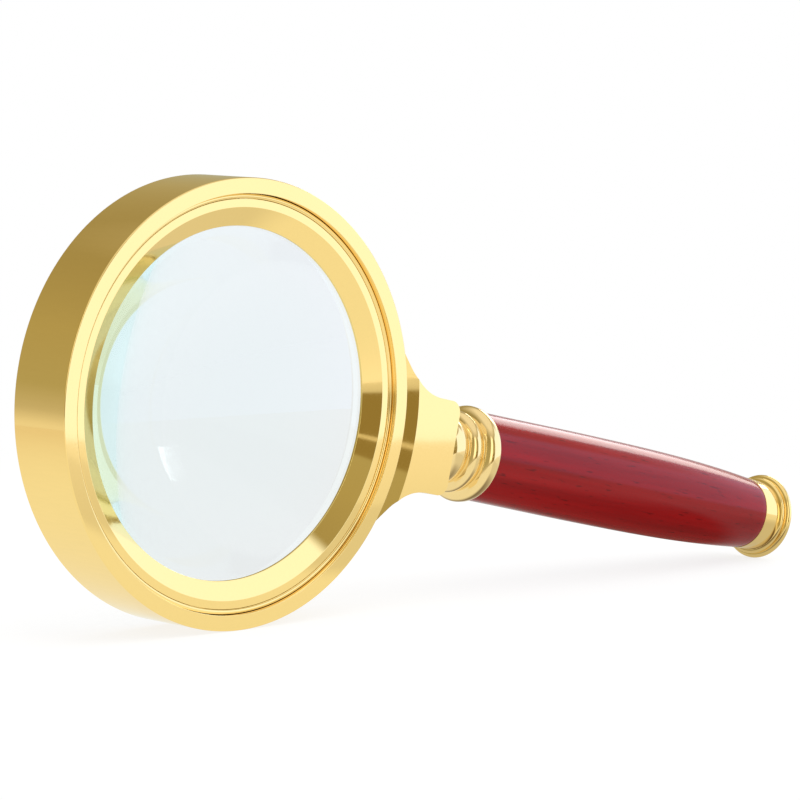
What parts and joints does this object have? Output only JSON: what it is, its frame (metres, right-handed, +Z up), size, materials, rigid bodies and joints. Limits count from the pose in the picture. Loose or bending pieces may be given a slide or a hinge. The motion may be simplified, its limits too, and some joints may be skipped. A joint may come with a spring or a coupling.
{
  "type": "hand magnifier",
  "caption": "Hand magnifier: a biconvex lens in a wide gilt ring with a flared neck, stepped ferrule, and a turned lacquered wooden handle that unscrews.",
  "frame": {"origin": "on the ground under the middle of the standing magnifier's outline", "axes": "+Z up, the front of the lens faces -Y, the handle points to +X and slopes down until its end cap's flange touches the ground"},
  "size_m": [0.2563, 0.0248, 0.108],
  "materials": {
    "gilt_band": "polished gold plating",
    "gilt_bezel": "polished gold plating",
    "gilt_neck": "polished gold plating",
    "gilt_turned": "polished gold plating",
    "lens_glass": "polished optical glass",
    "gasket": "soft translucent ring",
    "steel": "zinc-plated",
    "fibre": "vulcanised fibre",
    "lacquered_wood": "red stain under clear gloss lacquer"
  },
  "bodies": {
    "head": {"frame_ring": "gilt_band", "lens": "lens_glass", "lens_gasket": "gasket", "bezel_ring": "gilt_bezel", "snap_ring": "gilt_bezel", "neck": "gilt_neck", "neck_screws": "steel", "ferrule_washer": "fibre"},
    "collar": {"ferrule": "gilt_turned"},
    "handle": {"tie_rod": "steel", "rod_nut": "steel", "wood_grip": "lacquered_wood", "end_cap": "gilt_turned"}
  },
  "joints": [
    {"name": "ferrule_travel", "type": "slide", "parent": "head", "child": "collar", "axis": [0.9778, 0, -0.2094], "range_m": [0, 0.012]},
    {"name": "handle_turn", "type": "hinge", "parent": "collar", "child": "handle", "pos_m": [-0.00366, 0, 0.03891], "axis": [0.9778, 0, -0.2094], "range_deg": [0, 4320]}
  ],
  "couplings": [
    {"joint": "handle_turn", "follows": "ferrule_travel", "rad_per_m": 6283.2}
  ]
}
